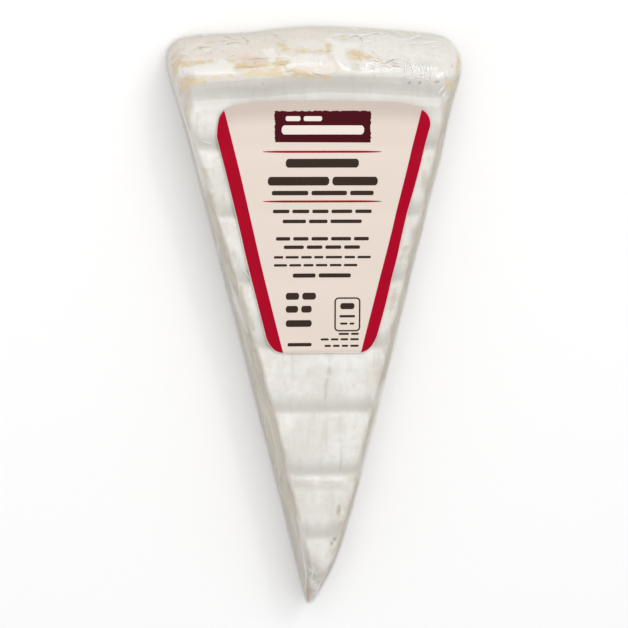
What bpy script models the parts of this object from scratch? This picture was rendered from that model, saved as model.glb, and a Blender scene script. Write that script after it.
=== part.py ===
import math

import bmesh
import bpy
from mathutils import Vector, noise

# A wedge of soft ripened cheese, drawn tight in clear film, with a printed label on its upper face.
# It lies on its lower face: rind toward +Y, point toward -Y, label up. The origin is under its middle.
MM = 0.001

# Plan of the wedge, from the point to the middle of the rind
LENGTH = 175.8 * MM
LEFT_EDGE_ANGLE = math.radians(13.15)
RIGHT_EDGE_ANGLE = math.radians(12.95)
POINT_WIDTH = 1.4 * MM
NOSE_WIDENING = 5.0 * MM
NOSE_WIDENING_RUN = 22.0 * MM
# The wedge was cut a little askew, so what runs across it slants by this much
SKEW = -0.026

# Heights
HEIGHT = 28.4 * MM
POINT_HEIGHT = 6.0 * MM
NOSE_RUN = 28.0 * MM
NOSE_ROUNDNESS = 2.3

# Rind wall: how far its ends fall back behind its middle, and the flat place left of the middle
RIND_FALLBACK = 3.6 * MM
RIND_FALLBACK_POWER = 1.6
RIND_CREST_AT = 0.05
RIND_FLAT_AT = -0.42
RIND_FLAT_SPREAD = 0.17
RIND_FLAT_DEPTH = 1.0 * MM
RIND_BULGE = 0.8 * MM
SIDE_BULGE = 0.4 * MM

# Rounding of the edges
LEFT_EDGE_RADIUS = 3.2 * MM
LEFT_EDGE_DROP = 4.2 * MM
# The right edge is worn down further, and the change lies between these shares of the width
RIGHT_EDGE_RADIUS = 5.2 * MM
RIGHT_EDGE_DROP = 12.5 * MM
DROP_CHANGE_FROM = 0.35
DROP_CHANGE_TO = 0.75
LEFT_CORNER_RADIUS = 7.0 * MM
RIGHT_CORNER_RADIUS = 5.0 * MM
RIND_SHOULDER_REACH = 9.0 * MM
RIND_SHOULDER_DROP = 12.0 * MM
RIND_BLEND_RUN = 20.0 * MM
BASE_RADIUS = 1.8 * MM
BASE_DRAW_IN = 0.7
POINT_RADIUS = 2.4 * MM
# No rounding takes more than this share of a side
WIDEST_ROUNDING = 0.45

# How far the upper edge of the left cut face leans in, near the rind and along the narrow half
LEFT_LEAN_RIND = 0.5 * MM
LEFT_LEAN_NARROW = 2.9 * MM
LEAN_CHANGE_FROM = 78.0 * MM
LEAN_CHANGE_TO = 140.0 * MM
RIGHT_LEAN = 0.1 * MM
# At the nose the film draws the right face in further
NOSE_TUCK = 1.2 * MM

# Bands pressed into the upper rind by the ripening mat, each steep toward the rind
RIM_GROOVE_AT = 162.0 * MM
FIRST_GROOVE_AT = 146.4 * MM
GROOVE_PITCH = 19.3 * MM
GROOVE_DEPTH = 1.3 * MM
GROOVE_SKEW = 0.6
GROOVE_FULLNESS = 0.8
BAND_SWELL = 0.1 * MM

# Soft cheese is never quite even: shallow hollows at these depths and this spacing
HOLLOW_DEPTH = 0.6 * MM
SIDE_HOLLOW_DEPTH = 0.25 * MM
HOLLOW_SPACING = 16.0 * MM

# Label
LABEL_THICKNESS = 0.3 * MM
LABEL_GAP = 0.3 * MM
LABEL_TOP_AT = 157.4 * MM
LABEL_BOTTOM_AT = 87.2 * MM
LABEL_TOP_HALF_WIDTH = 31.1 * MM
LABEL_BOTTOM_HALF_WIDTH = 15.0 * MM
LABEL_ARCH = 3.0 * MM
LABEL_TOP_CORNER_RUN = 6.5 * MM
LABEL_TOP_CORNER_DEPTH = 3.2 * MM
LABEL_BOTTOM_CORNER_RUN = 5.4 * MM
LABEL_BOTTOM_CORNER_DEPTH = 3.2 * MM
LABEL_SHIFT = 1.08 * MM

# Number of steps of the surface grids
LENGTH_STEPS = 84
EDGE_STEPS = 2
ACROSS_STEPS = 11
UP_STEPS = 3
END_BUNCHING = 0.35
LABEL_LENGTH_STEPS = 24
LABEL_ACROSS_STEPS = 12


def clear_scene():
    for old_object in list(bpy.data.objects):
        bpy.data.objects.remove(old_object, do_unlink=True)


def make_collection(name):
    collection = bpy.data.collections.new(name)
    bpy.context.scene.collection.children.link(collection)
    return collection


def make_material(name, colour, roughness):
    material = bpy.data.materials.new(name)
    material.use_nodes = True
    shader = material.node_tree.nodes["Principled BSDF"]
    shader.inputs["Base Color"].default_value = (*colour, 1.0)
    shader.inputs["Roughness"].default_value = roughness
    shader.inputs["Metallic"].default_value = 0.0
    return material


def smooth_step(value, low, high):
    part = min(max((value - low) / (high - low), 0.0), 1.0)
    return part * part * (3.0 - 2.0 * part)


def blend(low, high, share):
    return low + (high - low) * share


# Distances along the wedge are measured from its point
def width_at(along):
    taper = math.tan(LEFT_EDGE_ANGLE) + math.tan(RIGHT_EDGE_ANGLE)
    widening = NOSE_WIDENING * (1.0 - math.exp(-along / NOSE_WIDENING_RUN))
    return POINT_WIDTH + taper * (along + widening)


def left_edge_at(along):
    return -0.5 * POINT_WIDTH - math.tan(LEFT_EDGE_ANGLE) * along


def height_at(along):
    rest = max(1.0 - along / NOSE_RUN, 0.0)
    return blend(POINT_HEIGHT, HEIGHT, 1.0 - rest ** NOSE_ROUNDNESS)


# How far the left and right cut faces lean in at their upper edges
def leans_at(along):
    left = blend(LEFT_LEAN_NARROW, LEFT_LEAN_RIND, smooth_step(along, LEAN_CHANGE_FROM, LEAN_CHANGE_TO))
    left *= smooth_step(along, 0.0, NOSE_RUN)
    right = RIGHT_LEAN + NOSE_TUCK * (1.0 - smooth_step(along, 0.3 * NOSE_RUN, 1.3 * NOSE_RUN))
    return left, right


def toward_rind_at(along):
    return smooth_step(along, LENGTH - RIND_BLEND_RUN, LENGTH - 0.3 * RIND_BLEND_RUN)


# Radii of the left and right edges: soft near the rind, crisper where cut
def side_radii_at(along, width):
    toward_rind = toward_rind_at(along)
    left = blend(LEFT_EDGE_RADIUS, LEFT_CORNER_RADIUS, toward_rind)
    right = blend(RIGHT_EDGE_RADIUS, RIGHT_CORNER_RADIUS, toward_rind)
    return min(left, WIDEST_ROUNDING * width), min(right, WIDEST_ROUNDING * width)


# How far the rounding of the upper edges reaches down
def drop_at(along, across, height):
    drop = blend(LEFT_EDGE_DROP, RIGHT_EDGE_DROP, smooth_step(across, DROP_CHANGE_FROM, DROP_CHANGE_TO))
    return min(blend(drop, RIND_SHOULDER_DROP, toward_rind_at(along)), WIDEST_ROUNDING * height)


# 1 on a band's crest and 0 in the groove between two bands
def band_at(along):
    if along >= RIM_GROOVE_AT:
        return smooth_step(along, RIM_GROOVE_AT, RIM_GROOVE_AT + 0.25 * GROOVE_PITCH)
    if along >= FIRST_GROOVE_AT:
        phase = (RIM_GROOVE_AT - along) / (RIM_GROOVE_AT - FIRST_GROOVE_AT)
    else:
        phase = ((FIRST_GROOVE_AT - along) / GROOVE_PITCH) % 1.0
    return math.sin(math.pi * phase ** GROOVE_SKEW) ** GROOVE_FULLNESS


# How far the rind stands back from its foremost line, over the width from -1 to 1
def rind_fallback(across):
    arc = RIND_FALLBACK * abs(across - RIND_CREST_AT) ** RIND_FALLBACK_POWER
    flat = RIND_FLAT_DEPTH * math.exp(-((across - RIND_FLAT_AT) / RIND_FLAT_SPREAD) ** 2)
    return arc + flat


# Places of the grid lines along one side: close together where the edges are rounded
def edge_lines(size, low_radius, high_radius, middle_steps):
    slopes = [math.tan(math.pi / 4.0 * step / EDGE_STEPS) for step in range(EDGE_STEPS + 1)]
    middle = size - low_radius - high_radius
    lines = [low_radius * (1.0 - slope) for slope in reversed(slopes)]
    lines += [low_radius + middle * step / middle_steps for step in range(1, middle_steps)]
    lines += [size - high_radius * (1.0 - slope) for slope in slopes]
    return lines


# -1 to 1 inside the rounded ends of a side, 0 on its straight stretch
def overhang(place, size, low_radius, high_radius):
    if place > size - high_radius:
        return (place - size + high_radius) / high_radius
    if place < low_radius:
        return (place - low_radius) / low_radius
    return 0.0


def pull_in(place, part, size, low_radius, high_radius):
    if part > 0.0:
        return size - high_radius + part * high_radius
    if part < 0.0:
        return low_radius + part * low_radius
    return place


# A grid corner, counted in steps, on a straight box with rounded edges: across and up as shares of 1
def rounded_point(across_step, along_step, up_step):
    share = along_step / LENGTH_STEPS
    along = LENGTH * (share - END_BUNCHING * math.sin(2.0 * math.pi * share) / (2.0 * math.pi))
    width = width_at(along)
    height = height_at(along)
    left_radius, right_radius = side_radii_at(along, width)
    across = edge_lines(width, left_radius, right_radius, ACROSS_STEPS)[across_step]
    top_radius = drop_at(along, across / width, height)
    up = edge_lines(height, BASE_RADIUS, top_radius, UP_STEPS)[up_step]
    parts = [overhang(across, width, left_radius, right_radius),
             overhang(along, LENGTH, POINT_RADIUS, RIND_SHOULDER_REACH),
             overhang(up, height, BASE_RADIUS, top_radius)]
    if up_step == 0:
        # the lower face stays flat, drawn in by the rounded edge above it
        parts = [parts[0] * BASE_DRAW_IN, parts[1] * BASE_DRAW_IN, -1.0]
    reach = math.hypot(*parts)
    parts = [part / reach for part in parts]
    across = pull_in(across, parts[0], width, left_radius, right_radius)
    along = pull_in(along, parts[1], LENGTH, POINT_RADIUS, RIND_SHOULDER_REACH)
    up = 0.0 if up_step == 0 else pull_in(up, parts[2], height, BASE_RADIUS, top_radius)
    return across / width, along, up / height


# The same point on the wedge: tapered, leaning, bulged, banded and hollowed
def wedge_point(across, along, up):
    signed_across = 2.0 * across - 1.0
    bow = math.sin(math.pi * up)
    band = band_at(along)
    left_lean, right_lean = leans_at(along)
    swell = (SIDE_BULGE * bow + BAND_SWELL * band * up) * smooth_step(along, 0.0, NOSE_RUN)
    x = left_edge_at(along) + across * width_at(along)
    x += left_lean * up * (1.0 - across) - right_lean * up * across
    x += swell * signed_across
    rind_share = smooth_step(along, LENGTH - 2.0 * RIND_BLEND_RUN, LENGTH)
    y = along - rind_share * (rind_fallback(signed_across) - RIND_BULGE * bow) + SKEW * x
    z = up * height_at(along) - GROOVE_DEPTH * (1.0 - band) * up ** 4
    hollow = 0.5 - 0.5 * noise.noise(Vector((x, y, z)) / HOLLOW_SPACING)
    z -= HOLLOW_DEPTH * hollow * up ** 4
    x -= SIDE_HOLLOW_DEPTH * hollow * signed_across * bow
    y -= HOLLOW_DEPTH * hollow * bow * rind_share
    return x, y, z


# A box whose corners sit on whole numbers, cut into a grid by planes, then drawn to the wedge's skin
def build_wedge():
    counts = (2 * EDGE_STEPS + ACROSS_STEPS, LENGTH_STEPS, 2 * EDGE_STEPS + UP_STEPS)
    mesh_data = bmesh.new()
    bmesh.ops.create_cube(mesh_data, size=1.0)
    for vertex in mesh_data.verts:
        for axis in range(3):
            vertex.co[axis] = (vertex.co[axis] + 0.5) * counts[axis]
    for axis in range(3):
        normal = [1.0 if axis == other else 0.0 for other in range(3)]
        for step in range(1, counts[axis]):
            place = [part * step for part in normal]
            geometry = mesh_data.verts[:] + mesh_data.edges[:] + mesh_data.faces[:]
            bmesh.ops.bisect_plane(mesh_data, geom=geometry, dist=1e-6, plane_co=place, plane_no=normal)
    for vertex in mesh_data.verts:
        vertex.co = wedge_point(*rounded_point(*[round(part) for part in vertex.co]))
    base_faces = [face for face in mesh_data.faces if all(vertex.co.z < 1e-7 for vertex in face.verts)]
    bmesh.ops.dissolve_faces(mesh_data, faces=base_faces, use_verts=True)
    bmesh.ops.recalc_face_normals(mesh_data, faces=mesh_data.faces[:])
    return mesh_data


# How far a rounded corner of the label stands in, this far from its end
def corner_cut(distance, run, depth):
    rest = max(1.0 - distance / run, 0.0)
    return depth * (1.0 - math.sqrt(1.0 - rest * rest))


# The label lies flat over the bands: a grid drawn to its outline, later thickened
def build_label():
    mesh_data = bmesh.new()
    bmesh.ops.create_grid(mesh_data, x_segments=LABEL_ACROSS_STEPS, y_segments=LABEL_LENGTH_STEPS, size=1.0)
    length = LABEL_TOP_AT - LABEL_BOTTOM_AT
    middle_slope = 0.5 * (math.tan(RIGHT_EDGE_ANGLE) - math.tan(LEFT_EDGE_ANGLE))
    for vertex in mesh_data.verts:
        across = vertex.co.x
        share = 0.5 * (vertex.co.y + 1.0)
        from_end = length * share
        half_width = blend(LABEL_BOTTOM_HALF_WIDTH, LABEL_TOP_HALF_WIDTH, share)
        half_width -= corner_cut(from_end, LABEL_BOTTOM_CORNER_RUN, LABEL_BOTTOM_CORNER_DEPTH)
        half_width -= corner_cut(length - from_end, LABEL_TOP_CORNER_RUN, LABEL_TOP_CORNER_DEPTH)
        along = LABEL_BOTTOM_AT + from_end + LABEL_ARCH * share * (1.0 - across * across)
        vertex.co.x = LABEL_SHIFT + middle_slope * along + half_width * across
        vertex.co.y = along + SKEW * vertex.co.x
        vertex.co.z = HEIGHT + LABEL_GAP
    return mesh_data


def add_object(name, mesh_data, material, collection):
    mesh = bpy.data.meshes.new(name)
    mesh_data.to_mesh(mesh)
    mesh_data.free()
    mesh.materials.append(material)
    mesh.shade_smooth()
    new_object = bpy.data.objects.new(name, mesh)
    collection.objects.link(new_object)
    return new_object


# Moves the meshes together so that the origin is under the middle of the reference's box
def centre_on(reference, objects):
    corners = [vertex.co for vertex in reference.data.vertices]
    shift = [0.5 * (min(corner[axis] for corner in corners) + max(corner[axis] for corner in corners))
             for axis in range(2)]
    for item in objects:
        for vertex in item.data.vertices:
            vertex.co.x -= shift[0]
            vertex.co.y -= shift[1]


clear_scene()
parts_collection = make_collection("brie_wedge")
wrapped_cheese = make_material("wrapped_cheese", (0.79, 0.77, 0.72), 0.3)
label_print = make_material("label_print", (0.80, 0.72, 0.64), 0.35)

wedge = add_object("wrapped_wedge", build_wedge(), wrapped_cheese, parts_collection)
wedge.data.set_sharp_from_angle(angle=math.radians(50.0))
label = add_object("front_label", build_label(), label_print, parts_collection)
thicken = label.modifiers.new("thickness", "SOLIDIFY")
thicken.thickness = LABEL_THICKNESS
thicken.offset = 1.0
centre_on(wedge, [wedge, label])
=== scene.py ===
import math
import random
from functools import partial

import bmesh
import bpy
import numpy as np
from mathutils import Matrix, Vector


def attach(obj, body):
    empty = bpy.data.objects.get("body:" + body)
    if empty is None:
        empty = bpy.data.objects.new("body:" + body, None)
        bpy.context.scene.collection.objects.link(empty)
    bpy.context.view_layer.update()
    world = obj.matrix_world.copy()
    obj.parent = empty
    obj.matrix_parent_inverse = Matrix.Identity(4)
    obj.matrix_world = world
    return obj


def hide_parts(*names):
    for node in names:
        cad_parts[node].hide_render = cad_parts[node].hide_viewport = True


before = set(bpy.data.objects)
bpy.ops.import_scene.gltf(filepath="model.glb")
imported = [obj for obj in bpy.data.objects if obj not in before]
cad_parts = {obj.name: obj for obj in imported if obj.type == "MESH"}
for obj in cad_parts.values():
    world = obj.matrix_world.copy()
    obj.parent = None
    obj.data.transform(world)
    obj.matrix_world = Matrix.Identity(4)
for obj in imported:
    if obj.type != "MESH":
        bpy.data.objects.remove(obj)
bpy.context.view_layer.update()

mm = 0.001
print("frame loaded")


def toLinear(hexColour):
    channels = [int(hexColour[place:place + 2], 16) / 255.0 for place in (1, 3, 5)]
    linear = [part / 12.92 if part <= 0.04045 else ((part + 0.055) / 1.055) ** 2.4 for part in channels]
    return (*linear, 1.0)


# Adds a node and gives back one output. Its inputs come in order or by name or number:
# an output of another node is linked, and a hex colour is made linear. A kind in capitals is
# a calculation, and "ease" is a smooth step
def addNode(tree, kind, inputs=(), out=0, **settings):
    if kind.isupper():
        kind, settings["operation"] = "ShaderNodeMath", kind
    elif kind == "ease":
        kind, settings["interpolation_type"] = "ShaderNodeMapRange", "SMOOTHSTEP"
    node = tree.nodes.new(kind)
    for name, value in settings.items():
        setattr(node, name, value)
    for key, value in inputs.items() if isinstance(inputs, dict) else enumerate(inputs):
        if isinstance(value, bpy.types.NodeSocket):
            tree.links.new(value, node.inputs[key])
        else:
            isColour = isinstance(value, str) and value.startswith("#")
            node.inputs[key].default_value = toLinear(value) if isColour else value
    return node.outputs[out] if len(node.outputs) else node


def startNodes(block):
    block.use_nodes = True
    block.node_tree.nodes.clear()
    return partial(addNode, block.node_tree)


# Starts a material: itself, what adds its nodes, and its Object coordinates
def newMaterial(name):
    material = bpy.data.materials.new(name)
    add = startNodes(material)
    return material, add, add("ShaderNodeTexCoord", out="Object")


# Starts a Geometry Nodes tree: itself, what adds its nodes, and its inputs and point values by name
def newTree(name, sockets, marks=()):
    tree = bpy.data.node_groups.new(name, "GeometryNodeTree")
    add = partial(addNode, tree)
    tree.interface.new_socket("Geometry", in_out="OUTPUT", socket_type="NodeSocketGeometry")
    for socket in ("Geometry", *sockets):
        kind = {"Geometry": "Geometry", "Onto": "Object"}.get(socket, "Float")
        tree.interface.new_socket(socket, in_out="INPUT", socket_type="NodeSocket" + kind)
    entry = tree.nodes.new("NodeGroupInput")
    given = {socket.name: socket for socket in entry.outputs if socket.name}
    for mark in marks:
        given[mark] = add("GeometryNodeInputNamedAttribute", {"Name": mark}, data_type="FLOAT")
    return tree, add, given


def endTree(tree, geometry, material):
    geometry = addNode(tree, "GeometryNodeRealizeInstances", [geometry])
    geometry = addNode(tree, "GeometryNodeSetMaterial", {0: geometry, "Material": material})
    addNode(tree, "NodeGroupOutput", [geometry])
    return tree


# Bumps of a kind that has a size and a height among a tree's inputs
def relief(add, given, where, kind, detail=1.0, roughness=0.5):
    scale = add("DIVIDE", (1.0, given[kind + " Size"]))
    inputs = {"Vector": where, "Scale": scale, "Detail": detail, "Roughness": roughness}
    value = add("SUBTRACT", (add("ShaderNodeTexNoise", inputs), 0.5))
    return add("MULTIPLY", (value, given[kind + " Height"]))


# Keeps what the modifiers make as a plain mesh
def freeze(piece):
    mesh = bpy.data.meshes.new_from_object(piece.evaluated_get(bpy.context.evaluated_depsgraph_get()))
    mesh.name = piece.name
    piece.modifiers.clear()
    piece.data = mesh


def runTree(piece, tree, values):
    modifier = piece.modifiers.new(tree.name, "NODES")
    modifier.node_group = tree
    for item in tree.interface.items_tree:
        if item.in_out == "INPUT" and item.name in values:
            modifier[item.identifier] = values[item.name]
    freeze(piece)


def giveValues(mesh, name, values):
    attribute = mesh.attributes.new(name, "FLOAT", "POINT")
    attribute.data.foreach_set("value", np.asarray(values, dtype=np.float32))


def newPiece(name, mesh):
    piece = bpy.data.objects.new(name, mesh)
    bpy.context.scene.collection.objects.link(piece)
    return piece


# Makes a piece from its points, with named values at them
def drawPiece(name, verts, edges, faces, **values):
    mesh = bpy.data.meshes.new(name)
    mesh.from_pydata(verts, edges, faces)
    for valueName, atPoints in values.items():
        giveValues(mesh, valueName, atPoints)
    return newPiece(name, mesh)


# The points and normals of a mesh, in mm
def readMesh(mesh):
    points, normals = np.empty((2, len(mesh.vertices) * 3), dtype=np.float32)
    mesh.vertices.foreach_get("co", points)
    mesh.vertex_normals.foreach_get("vector", normals)
    return points.reshape(-1, 3) / mm, normals.reshape(-1, 3)


def fadeIn(values, start, end):
    share = np.clip((values - start) / (end - start), 0.0, 1.0)
    return share * share * (3.0 - 2.0 * share)


# How near each point is to a line of points: 1 on it, 0 a width away
def nearLine(points, line, width):
    nearest = np.full(len(points), 1e9)
    for start, end in zip(line[:-1], line[1:]):
        start, end = np.array(start, dtype=float), np.array(end, dtype=float)
        run = end - start
        share = np.clip(((points - start) @ run) / max(run @ run, 1e-9), 0.0, 1.0)
        nearest = np.minimum(nearest, np.linalg.norm(points - start - share[:, None] * run, axis=1))
    return fadeIn(-nearest, -width, 0.0)


# The body under cheese and film alike: the CAD wedge, rounded between its faces and evenly meshed
body = {
    "subdivisions": 2,
    "meshSize": 0.58 * mm,
    "weldWithin": 0.01 * mm,
    "rightFullness": 0.75,  # what the rounding took off the right cut side, in mm
}


def makeBody():
    shape = bmesh.new()
    shape.from_mesh(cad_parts["wrapped_wedge"].data)
    bmesh.ops.remove_doubles(shape, verts=shape.verts[:], dist=body["weldWithin"])
    underside = [face for face in shape.faces if max(vert.co.z for vert in face.verts) < body["weldWithin"]]
    bmesh.ops.dissolve_faces(shape, faces=underside)
    bmesh.ops.join_triangles(
        shape, faces=shape.faces[:],
        angle_face_threshold=math.radians(60), angle_shape_threshold=math.radians(80),
    )
    mesh = bpy.data.meshes.new("wedgeBody")
    shape.to_mesh(mesh)
    shape.free()
    piece = newPiece("wedgeBody", mesh)
    rounding = piece.modifiers.new("rounding", "SUBSURF")
    rounding.levels = rounding.render_levels = body["subdivisions"]
    evenMesh = piece.modifiers.new("evenMesh", "REMESH")
    evenMesh.mode = "VOXEL"
    evenMesh.voxel_size = body["meshSize"]
    evenMesh.use_smooth_shade = True
    freeze(piece)
    mesh = piece.data
    bpy.data.objects.remove(piece)
    points, normals = readMesh(mesh)
    # fuller on the right side, and not past the rind's corner or at the point
    out = fadeIn(normals[:, 0], 0.1, 0.8) * fadeIn(-points[:, 1], -68.0, -52.0)
    points[:, 0] += out * body["rightFullness"]
    mesh.vertices.foreach_set("co", (points * mm).astype(np.float32).ravel())
    mesh.update()
    return mesh


bodyMesh = makeBody()
print("wedge body made:", len(bodyMesh.polygons), "faces")

# The cheese inside the film
cheese = {
    "Inset": 0.40 * mm,  # the film's thickness and the air under it
    "Bloom Height": 0.22 * mm,
    "Bloom Size": 3.2 * mm,
    "Swell Height": 0.55 * mm,
    "Swell Size": 15.0 * mm,
    "Rub Height": 0.16 * mm,
    "Rub Size": 2.4 * mm,
    "Furrow Depth": 0.35 * mm,
    "Eye Depth": 0.45 * mm,  # the small holes in the paste
    "Eye Spacing": 11.0 * mm,
}
# Marks on it: a line of points in mm, and its reach
patches = {
    "crust": [
        ([(-40.2, 82.9, 15.6), (-40.4, 82, 17.8), (-40.4, 81, 19.7)], 5),
        ([(-39.1, 82.3, 21.7), (-36.3, 82.9, 24.6), (-33.1, 83.2, 25)], 1.8),
        ([(-33.1, 83.2, 25), (-30, 83.6, 24.8)], 1.3),
        ([(-39.1, 77.2, 23.8), (-36.1, 78.2, 27.3), (-32, 78.8, 27.9)], 1.9),
        ([(-38.9, 76.7, 24.3), (-37.6, 76.5, 26)], 2.2),
        ([(-29.2, 79.3, 27.9), (-26.7, 79.7, 27.7), (-24.5, 79.9, 27.6)], 1.4),
        ([(-19.6, 80.3, 27.4), (-15.4, 80.3, 27.4), (-11.3, 80, 27.7), (-7.5, 79.6, 27.9)], 1.8),
        ([(-8.3, 80.8, 27.5), (-6.6, 80.8, 27.6), (-4.7, 80, 27.8), (-3.6, 78.8, 27.9)], 1.7),
        ([(-22.7, 82.3, 26.1), (-19.4, 82.1, 26.3), (-15.6, 82.2, 26.3)], 1.4),
        ([(-25.1, 83.7, 24.7), (-23.7, 83.7, 24.7)], 1.5), ([(-12, 82.9, 26.1), (-9.8, 82.6, 26.5)], 2.2),
        ([(-11.8, 87.2, 17), (-10.4, 87, 19.8), (-9.1, 85.9, 22.7)], 1.5),
        ([(-5.6, 85.7, 23.4), (-3.1, 85.7, 23.7)], 1.8), ([(-33.3, 86, 17.9), (-30.2, 86.2, 18.4)], 1.3),
        ([(-0.9, 85.5, 24.1), (1.8, 85.4, 24.1)], 1.4), ([(2.4, 85.4, 24.2), (3, 86.8, 21.6)], 1.4),
        ([(9.5, 84.5, 24.9), (11.1, 84.2, 25.1)], 2.6),
        ([(11.1, 84.2, 25.1), (14.4, 83.4, 25.6), (16.6, 82.9, 26)], 1.6),
        ([(7.9, 87.6, 13.5), (7.4, 87.4, 17.7)], 1.3),
        ([(-2.5, 79.2, 27.9), (-0.8, 78.7, 27.9), (1.6, 78.3, 27.9)], 1.9),
        ([(39.8, 81.6, 20.9), (39.3, 80, 23.8), (38.8, 78.4, 25.2)], 1.6),
        ([(35, 75.5, 28), (36.5, 75, 27.4), (37.7, 73.7, 25.7)], 2),
    ],
    "stain": [
        ([(-38.3, 69.5, 25.6), (-37, 64.5, 26.4)], 2.2),
        ([(-33, 52.9, 27.4), (-31.8, 50.6, 27.6), (-31, 48.6, 27.7)], 2.3),
        ([(-30.3, 37.3, 26.2), (-29, 34.5, 27), (-26.6, 28.5, 27.2)], 2),
        ([(-23.2, 17, 27.6), (-20.6, 10, 27.6)], 2.2), ([(35.3, 69.5, 27), (35.4, 66.6, 26.5)], 2.3),
        ([(28.9, 50.4, 28.2), (29.6, 47.6, 27.6)], 2.3), ([(24.2, 28.4, 27.3), (22.9, 25.2, 27.4)], 1.8),
        ([(21.3, 16.5, 27.6), (19.9, 10, 27.4)], 1.8),
    ],
    "crease": [
        ([(2.5, -6.2, 27.5), (2.3, -7.6, 27.4)], 1.2), ([(1.9, -9.4, 27.3), (1.5, -11.4, 27.2)], 1.1),
        ([(1.5, -12.6, 27.1), (1.4, -15, 27)], 0.8), ([(-11, -9, 27.5), (-11.2, -16.8, 26.8)], 0.6),
        ([(5.8, -27.8, 27.6), (6, -37.5, 26.8)], 0.6), ([(5.3, -48.1, 28), (5, -50.3, 27.8)], 0.9),
        ([(-3.8, -65.3, 26.5), (-3.2, -67.3, 26.2)], 1.2), ([(-2.5, -69.9, 25.3), (-1.3, -70.7, 25.2)], 1),
        ([(-22.4, 19, 27.2), (-19, 6, 27)], 0.9),
    ],
    # whiter patches, partly painted highlight where the film glints
    "pure": [
        ([(-39, 80.5, 23.6), (-33.2, 81.3, 26.7), (-26.4, 81.7, 26.7)], 3.2),
        ([(-27.1, 83.1, 25.5), (-25.5, 81.7, 26.7)], 2.6),
        ([(-14, 85.4, 22.4), (-13.2, 84.2, 24.6), (-8.4, 83.3, 26.1), (-2.8, 83.7, 26.1),
            (0.5, 83.6, 26.1)], 3),
        ([(5.6, 86.1, 22.6), (5.5, 84, 25.7), (6.9, 81, 27.5)], 2.8),
        ([(3.6, 87.5, 18.7), (6.6, 86.4, 21.9), (10.5, 86.5, 21.3)], 2),
        ([(-24, 52, 28), (-22, 44, 28)], 4.5), ([(-20, 33, 28), (-18, 24, 28)], 4.5),
        ([(26, 57, 28), (27.5, 53, 28)], 4.5), ([(21, 37, 28), (22.5, 31, 28)], 4.5),
    ],
    "pinkish": [
        ([(-21.2, 83.9, 24.5), (-17.9, 83.6, 25), (-15.5, 83.1, 25.5)], 3),
        ([(-29.3, 86.6, 14.4), (-25.1, 86.5, 13.5), (-19.6, 86.6, 14.5)], 3),
        ([(-23.4, 80.6, 27.3), (-12.7, 80.7, 27.4)], 1.6), ([(-38, 83.5, 20.5), (-32, 84.8, 21.5)], 2.4),
    ],
    # grey patches of painted shade, under crinkles and where the rind wall turns from the light
    "dull": [
        ([(24.6, 80.9, 26.8), (29.6, 80.6, 26.5)], 2.6), ([(24.7, 78.3, 27.9), (29.7, 78.1, 27.7)], 2.4),
        ([(-34.1, 85.9, 4.7), (-22.9, 86.3, 5), (-14, 86.8, 5.8)], 2.6),
        ([(4.7, 87.8, 10), (18.8, 86.8, 9.8), (32.7, 85.1, 11.8)], 2.4),
        ([(16.5, 82.2, 26.5), (22.1, 81.9, 26.2)], 1.8),
        ([(-40.8, 78, 17.6), (-40.2, 74, 21), (-39, 70, 23)], 2.8),
        ([(-28.4, 86.2, 19.1), (-22.2, 86.6, 15.3), (-20.5, 86.5, 17.5)], 1.5),
        ([(-10.5, 87.1, 12), (-9.8, 87, 18)], 2), ([(-7.5, -40.6, 27.8), (7.5, -40.9, 27.8)], 3),
        ([(9.8, 81.3, 27.3), (14.2, 81.2, 27.3)], 1.8),
    ],
    "blush": [([(-2.9, -77.5, 17.8), (-2.4, -83.6, 12.4)], 1.1)],
}


# Its rind's patterns: the size of their features in mm, detail, roughness, stretch and place
bloomPatterns = {
    "broad": (11, 3, 0.55, (1, 1, 1), 0),  # where the film lies on the bloom or stands off it
    "fine": (2.2, 5, 0.55, (1, 1, 1), 0.3),  # the felt of the bloom
    "streaks": (2.6, 3, 0.55, (1, 0.14, 1), 0.6),  # lengthwise rubbing
    "ragged": (3, 8, 0.72, (0.45, 1, 1.3), 0.9),
    "flecks": (1.3, 4, 0.7, (1, 1, 1), 1.3),
    "shreds": (1.1, 3, 0.6, (0.5, 1, 1.2), 2.1),
    "blotches": (6.5, 5, 0.6, (1, 0.6, 1), 1.7),
}


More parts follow.
